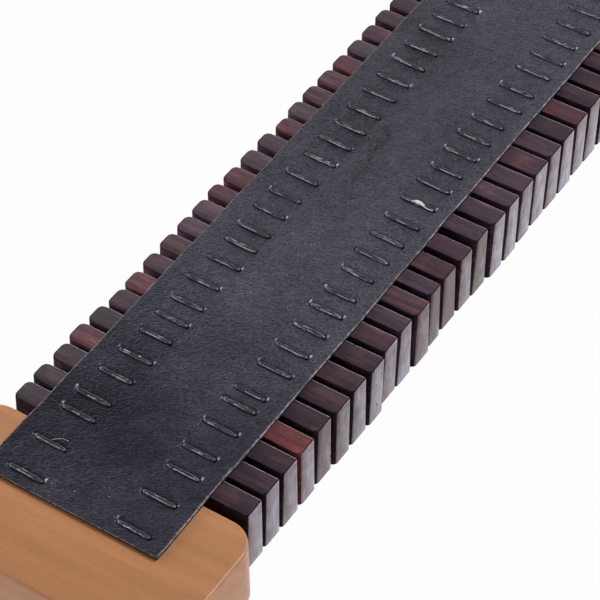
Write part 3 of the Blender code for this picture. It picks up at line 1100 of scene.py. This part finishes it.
def tube_mesh(name, groups, sides, materials):
    """Round tubes along smooth paths, through a curve, as one mesh.

    Each group is the number of its material, a radius and its paths.
    """
    curve = bpy.data.curves.new(name, "CURVE")
    curve.dimensions = "3D"
    curve.bevel_depth = 1.0
    curve.bevel_resolution = sides
    curve.use_fill_caps = True
    for material in materials:
        curve.materials.append(material)
    for slot, radius, paths in groups:
        for path in paths:
            spline = curve.splines.new("POLY")
            spline.points.add(len(path) - 1)
            for point, place in zip(spline.points, path):
                point.co = (*place, 1.0)
                point.radius = radius
            spline.material_index = slot
    carrier = bpy.data.objects.new(name, curve)
    bpy.context.scene.collection.objects.link(carrier)
    depsgraph = bpy.context.evaluated_depsgraph_get()
    mesh = bpy.data.meshes.new_from_object(carrier.evaluated_get(depsgraph))
    bpy.data.objects.remove(carrier)
    bpy.data.curves.remove(curve)
    bm = bmesh.new()
    bm.from_mesh(mesh)
    bmesh.ops.remove_doubles(bm, verts=bm.verts, dist=1e-6)
    bm.to_mesh(mesh)
    bm.free()
    mesh.name = name
    mesh.shade_smooth()
    return mesh


def stitch_frame(stitch):
    """A stitch's two ends, the way it runs and the way out to its left strand."""
    start, end = Vector(stitch["start"]), Vector(stitch["end"])
    way = (end - start).normalized()
    return start, end, way, Vector((way.y, -way.x))


def narrowing(from_end):
    """How much of the two strands' spread is drawn in this far from a needle hole."""
    return max(0.0, 1 - from_end / (2.6 * MM)) ** 1.5


def ply_paths(stitch, top, sizes, dice):
    """The radius and the twisted paths of the three plies in each of two strands."""
    start, end, way, aside = stitch_frame(stitch)
    across = -aside
    length = (end - start).length
    radius = sizes.strand / 2
    ply = radius * 0.88
    turn = 0.9 * MM  # radius of the turn into the needle hole
    tail = 1.3 * MM  # how far each end runs on down the hole
    steps = 46
    paths = []
    for side in (-1, 1):
        bow = dice.uniform(-0.10, 0.10) * MM
        high = dice.uniform(-0.06, 0.12) * MM - (0.08 * MM if side < 0 else 0)
        phase = dice.uniform(0, math.tau)
        centres = []
        for step in range(steps + 1):
            run = -tail + (length + 2 * tail) * step / steps
            s = min(max(run, 0.0), length)
            from_end = min(s, length - s)
            dive = max(0.0, -run, run - length)
            ease = max(0.0, 1 - from_end / turn)
            z = top + 0.14 * MM + high * math.sin(math.pi * s / length)
            z -= 0.75 * turn * (1 - math.sqrt(max(0.0, 1 - ease * ease))) + 1.1 * dive
            offset = side * radius * (0.98 - 0.7 * narrowing(from_end))
            offset += bow * math.sin(math.pi * s / length) + 0.25 * MM * ease
            flat = start + way * s + across * offset
            centres.append(Vector((flat.x, flat.y, z)))
        for number in range(3):
            path = []
            gone = 0.0
            for index, centre in enumerate(centres):
                before = centres[max(index - 1, 0)]
                after = centres[min(index + 1, steps)]
                gone += (centre - before).length
                forward = (after - before).normalized()
                out = Vector((across.x, across.y, 0.0))
                up = out.cross(forward).normalized()
                angle = phase + math.tau * (gone / sizes.lay + number / 3)
                turned = math.cos(angle) * out + math.sin(angle) * up
                path.append(centre + (radius - ply) * turned)
            paths.append(path)
    return ply, paths


def painted_shade_path(stitch, top, sizes):
    """A black tube of painted shade along a stitch's left side and round its lower needle hole."""
    start, end, way, aside = stitch_frame(stitch)
    steps = 14
    path = []
    for step in range(steps + 1):
        share = step / steps
        from_end = min(share, 1 - share) * (end - start).length
        narrow = 0.45 * narrowing(from_end)
        place = start.lerp(end, share)
        place += aside * (sizes.strand * (1 - narrow) - 0.08 * MM)
        path.append((place.x, place.y, top + 0.02 * MM))
    for out, side in ((0.45, 0.35), (0.62, -0.05), (0.55, -0.50), (0.20, -0.80)):
        place = end + (way * out + aside * side) * MM
        path.append((place.x, place.y, top + 0.04 * MM))
    return path


def glint_path(stitch, top, sizes, dice):
    """A painted highlight: a pale tube along the top of a stitch's left strand, where the light glints."""
    start, end, _, aside = stitch_frame(stitch)
    steps = 8
    first = dice.uniform(0.10, 0.45)
    last = min(0.92, first + dice.uniform(0.15, 0.75))
    depth = dice.uniform(-0.02, 0.10) * MM
    path = []
    for step in range(steps + 1):
        share = first + (last - first) * step / steps
        place = start.lerp(end, share) + aside * (0.55 * sizes.strand)
        sink = depth + 0.06 * MM * math.cos(step * 2.3 + start.x * 700)
        path.append((place.x, place.y, top + 0.60 * MM - sink))
    return path


class RATTLE_OT_stitches(bpy.types.Operator):
    """Stitches of two waxed strands, those of one slat or handle together"""

    bl_idname = "rattle.stitches"
    bl_label = "Stitches"

    def execute(self, context):
        sizes = context.scene.rattle_sizes
        colours = context.scene.rattle_colours
        materials = [
            thread_material(colours),
            # undyed linen, dull and almost white against the hide
            lumpy_material("frayed_linen", colours.fibre, 0.8, 0.7, 1.5),
            # painted shade: a black tube where the thread shades the leather beside it, so almost no light
            # comes back
            lumpy_material("black_wax", colours.leather, 0.2, 0.9, 1.2),
            # painted highlight: pale tubes along the top of a strand, where the light glints
            lumpy_material("rubbed_wax", colours.wax, 0.5, 0.35, 1.5)]
        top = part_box("strap")[1][2]
        plan = stitch_plan()
        dice = random.Random(21)
        for name in CHAIN:
            groups = []
            for stitch in plan:
                if stitch["on"] == name:
                    groups.append((0, *ply_paths(stitch, top, sizes, dice)))
                    # painted shade beside the stitch
                    groups.append((2, 0.19 * MM, [painted_shade_path(stitch, top, sizes)]))
                    # a painted highlight along the top of the left strand
                    groups.append((3, dice.uniform(0.10, 0.17) * MM, [
                        glint_path(stitch, top, sizes, dice)]))
            left, right = chain_x(name)
            origin = right if name == "handle_left" else (left + right) / 2
            for node, radius, points in FIBRES:
                if node == name:
                    groups.append((1, radius * MM, [[
                        (origin + x * MM, y * MM, top + 0.62 * MM) for x, y in points]]))
            mesh = tube_mesh("stitches_" + name, groups, 1, materials)
            finish_piece(
                "stitches_" + name, mesh, BODY_OF[name],
                ["thread_left", "thread_right"])
        return {"FINISHED"}


class RATTLE_OT_crossings(bpy.types.Operator):
    """The thread's short runs over the gaps, below the leather"""

    bl_idname = "rattle.crossings"
    bl_label = "Thread Crossings"

    def execute(self, context):
        sizes = context.scene.rattle_sizes
        materials = [thread_material(context.scene.rattle_colours)]
        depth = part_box(SLATS[0])[1][2] - 6 * MM
        radius = sizes.strand / 2
        rows = [row_ends(row) for row in ("thread_left", "thread_right")]
        for number, (first, second) in enumerate(zip(CHAIN, CHAIN[1:]), 1):
            name = f"crossing_{number:02d}"
            hinge = bend_x(first, second)
            paths = []
            for ends in rows:
                y = ends[number % 2]
                for side in (-1, 1):
                    paths.append([
                        (hinge + step * 0.3 * MM, y + side * radius,
                         depth + 0.02 * MM * abs(step))
                        for step in range(-7, 8)])
            mesh = tube_mesh(name, [(0, radius, paths)], 2, materials)
            piece = finish_piece(
                name, mesh, None, ["thread_left", "thread_right"])
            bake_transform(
                piece, BODY_OF[first], BODY_OF[second],
                start=(hinge - 0.5 * MM, 0, 0), end=(hinge + 0.5 * MM, 0, 0))
        return {"FINISHED"}


class RATTLE_OT_stage(bpy.types.Operator):
    """White floor and backdrop, soft studio lights and the camera"""

    bl_idname = "rattle.stage"
    bl_label = "Stage"

    def execute(self, context):
        scene = context.scene
        scene.view_settings.view_transform = "Standard"
        self.floor(scene)
        self.world(scene)
        # the middle of the photograph, on top of the slats
        target = Vector((-0.10834, -0.01010, 0.02800))
        # name, way to the lamp from the rattle, distance, size, power in watts
        lamps = (
            ("key_softbox", (0.38, -0.40, 0.82), 1.05, 0.55, 9.0),
            ("left_softbox", (-0.55, 0.80, 0.26), 1.2, 0.6, 7.0),
            ("back_softbox", (0.42, 0.85, 0.32), 1.4, 0.7, 3.0),
            ("side_softbox", (0.20, -1.0, 0.40), 1.3, 0.9, 0.7),
        )
        for name, way, distance, size, power in lamps:
            lamp = bpy.data.lights.new(name, "AREA")
            lamp.shape = "SQUARE"
            lamp.size = size
            lamp.energy = power
            holder = bpy.data.objects.new(name, lamp)
            scene.collection.objects.link(holder)
            holder.location = target + Vector(way).normalized() * distance
            holder.rotation_mode = "QUATERNION"
            holder.rotation_quaternion = (-Vector(way)).to_track_quat("-Z", "Y")
        self.camera(scene, target)
        return {"FINISHED"}

    @staticmethod
    def floor(scene):
        """White paper that shows the rattle's shadow and stays white in its gloss."""
        bm = bmesh.new()
        bmesh.ops.create_grid(bm, x_segments=1, y_segments=1, size=6.0)
        bmesh.ops.translate(bm, vec=(0, 0, -0.2 * MM), verts=bm.verts)
        mesh = bpy.data.meshes.new("floor")
        bm.to_mesh(mesh)
        bm.free()
        floor = bpy.data.objects.new("floor", mesh)
        scene.collection.objects.link(floor)
        material = bpy.data.materials.new("white_paper")
        material.use_nodes = True
        tree = material.node_tree
        tree.nodes.clear()
        paper = add_node(tree, "ShaderNodeBsdfDiffuse", {0: linear("#f4f4f4")})
        white = add_node(tree, "ShaderNodeEmission", {0: (1, 1, 1, 1), 1: 1.0})
        rays = add_node(tree, "ShaderNodeLightPath").outputs
        seen = add_node(
            tree, "ShaderNodeMath",
            {0: rays["Is Camera Ray"], 1: rays["Is Glossy Ray"]}, operation="MAXIMUM")
        seen = add_node(
            tree, "ShaderNodeMath", {0: seen, 1: 0.96}, operation="MULTIPLY")
        mixed = add_node(tree, "ShaderNodeMixShader", {0: seen, 1: paper, 2: white})
        add_node(tree, "ShaderNodeOutputMaterial", {0: mixed})
        mesh.materials.append(material)

    @staticmethod
    def world(scene):
        """A dim room with a white backdrop.

        Gloss sees the backdrop up to about 24 degrees high, and none of it above 41.
        """
        world = bpy.data.worlds.new("studio")
        scene.world = world
        world.use_nodes = True
        tree = world.node_tree
        tree.nodes.clear()
        way = add_node(tree, "ShaderNodeTexCoord").outputs["Generated"]
        height = add_node(tree, "ShaderNodeSeparateXYZ", {0: way}).outputs[2]
        paper = add_node(
            tree, "ShaderNodeMapRange", {0: height, 1: 0.40, 2: 0.66, 3: 1.0, 4: 0.0},
            interpolation_type="SMOOTHSTEP")
        room = add_node(tree, "ShaderNodeBackground", {0: (1, 1, 1, 1), 1: 0.08})
        white = add_node(tree, "ShaderNodeBackground", {0: (1, 1, 1, 1), 1: 1.0})
        rays = add_node(tree, "ShaderNodeLightPath").outputs
        gloss = add_node(
            tree, "ShaderNodeMath", {0: rays["Is Glossy Ray"], 1: paper},
            operation="MULTIPLY")
        seen = add_node(
            tree, "ShaderNodeMath", {0: rays["Is Camera Ray"], 1: gloss},
            operation="MAXIMUM")
        mixed = add_node(tree, "ShaderNodeMixShader", {0: seen, 1: room, 2: white})
        add_node(tree, "ShaderNodeOutputWorld", {0: mixed})

    @staticmethod
    def camera(scene, target):
        """The photograph's view: from the left handle's side, about 47 degrees up."""
        lens = bpy.data.cameras.new("camera")
        lens.lens = 149.32  # mm, on a sensor 36 mm wide
        lens.sensor_width = 36.0
        lens.clip_start = 0.01
        lens.clip_end = 50.0
        camera = bpy.data.objects.new("camera", lens)
        scene.collection.objects.link(camera)
        distance = 0.91242
        azimuth, elevation = math.radians(-56.178), math.radians(46.805)
        roll = math.radians(-0.936)
        back = Vector((
            math.sin(azimuth) * math.cos(elevation),
            -math.cos(azimuth) * math.cos(elevation), math.sin(elevation)))
        right = Vector((math.cos(azimuth), math.sin(azimuth), 0))
        up = back.cross(right)
        turned_right = math.cos(roll) * right + math.sin(roll) * up
        turned_up = -math.sin(roll) * right + math.cos(roll) * up
        turn = Matrix((turned_right, turned_up, back)).transposed().to_4x4()
        camera.matrix_world = Matrix.Translation(target + back * distance) @ turn
        scene.camera = camera


STEPS = (
    RATTLE_OT_stage, RATTLE_OT_slats, RATTLE_OT_handles, RATTLE_OT_strap,
    RATTLE_OT_stitches, RATTLE_OT_crossings,
)


class RATTLE_PT_build(bpy.types.Panel):
    """Lists the rattle's sizes, colours and pieces"""

    bl_label = "Slat Rattle"
    bl_idname = "RATTLE_PT_build"
    bl_space_type = "VIEW_3D"
    bl_region_type = "UI"
    bl_category = "Rattle"

    def draw(self, context):
        layout = self.layout
        for group in (context.scene.rattle_sizes, context.scene.rattle_colours):
            for name in group.bl_rna.properties.keys():
                if name not in ("rna_type", "name"):
                    layout.prop(group, name)
        for step in STEPS:
            layout.operator(step.bl_idname)


CLASSES = (RattleSizes, RattleColours, *STEPS, RATTLE_PT_build)


def register():
    for item in CLASSES:
        bpy.utils.register_class(item)
    bpy.types.Scene.rattle_sizes = bpy.props.PointerProperty(type=RattleSizes)
    bpy.types.Scene.rattle_colours = bpy.props.PointerProperty(type=RattleColours)


def unregister():
    del bpy.types.Scene.rattle_colours
    del bpy.types.Scene.rattle_sizes
    for item in reversed(CLASSES):
        bpy.utils.unregister_class(item)


def main():
    register()
    bpy.ops.rattle.stage()
    bpy.ops.rattle.slats()
    bpy.ops.rattle.handles()
    bpy.ops.rattle.strap()
    bpy.ops.rattle.stitches()
    bpy.ops.rattle.crossings()


if __name__ == "__main__":
    main()
